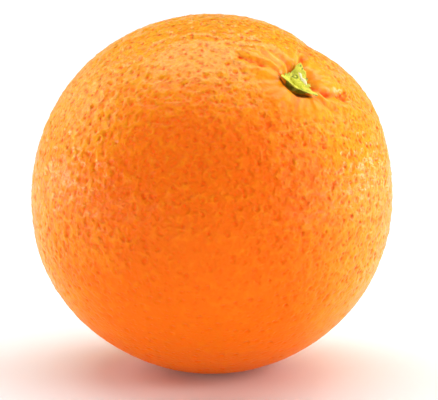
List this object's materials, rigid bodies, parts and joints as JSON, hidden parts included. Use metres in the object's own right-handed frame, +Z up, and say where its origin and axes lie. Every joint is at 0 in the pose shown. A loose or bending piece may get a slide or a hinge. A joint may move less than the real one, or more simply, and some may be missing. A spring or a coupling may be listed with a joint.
{
  "type": "orange",
  "caption": "Whole orange with a pitted rind, creases running into the stem cavity and a dry star-shaped calyx with the stub of its stalk, standing on a small flat spot.",
  "frame": {"origin": "centre of the small flat spot that the fruit stands on", "axes": "+Z up, -Y towards the viewer of the picture, and the stem end looks up to the front right (+X, -Y)"},
  "size_m": [0.0762, 0.076, 0.0755],
  "materials": {
    "rind": "waxy orange rind, finely pitted, half glossy, lighter and yellower at the top",
    "calyx": "dry leathery yellow-green calyx, matt, darker olive at its edges",
    "stalk_wood": "torn stalk end, pale fibres on greenish wood, matt"
  },
  "bodies": {
    "root": {"fruit": "rind", "calyx": "calyx", "stem_stub": "stalk_wood"}
  },
  "joints": []
}
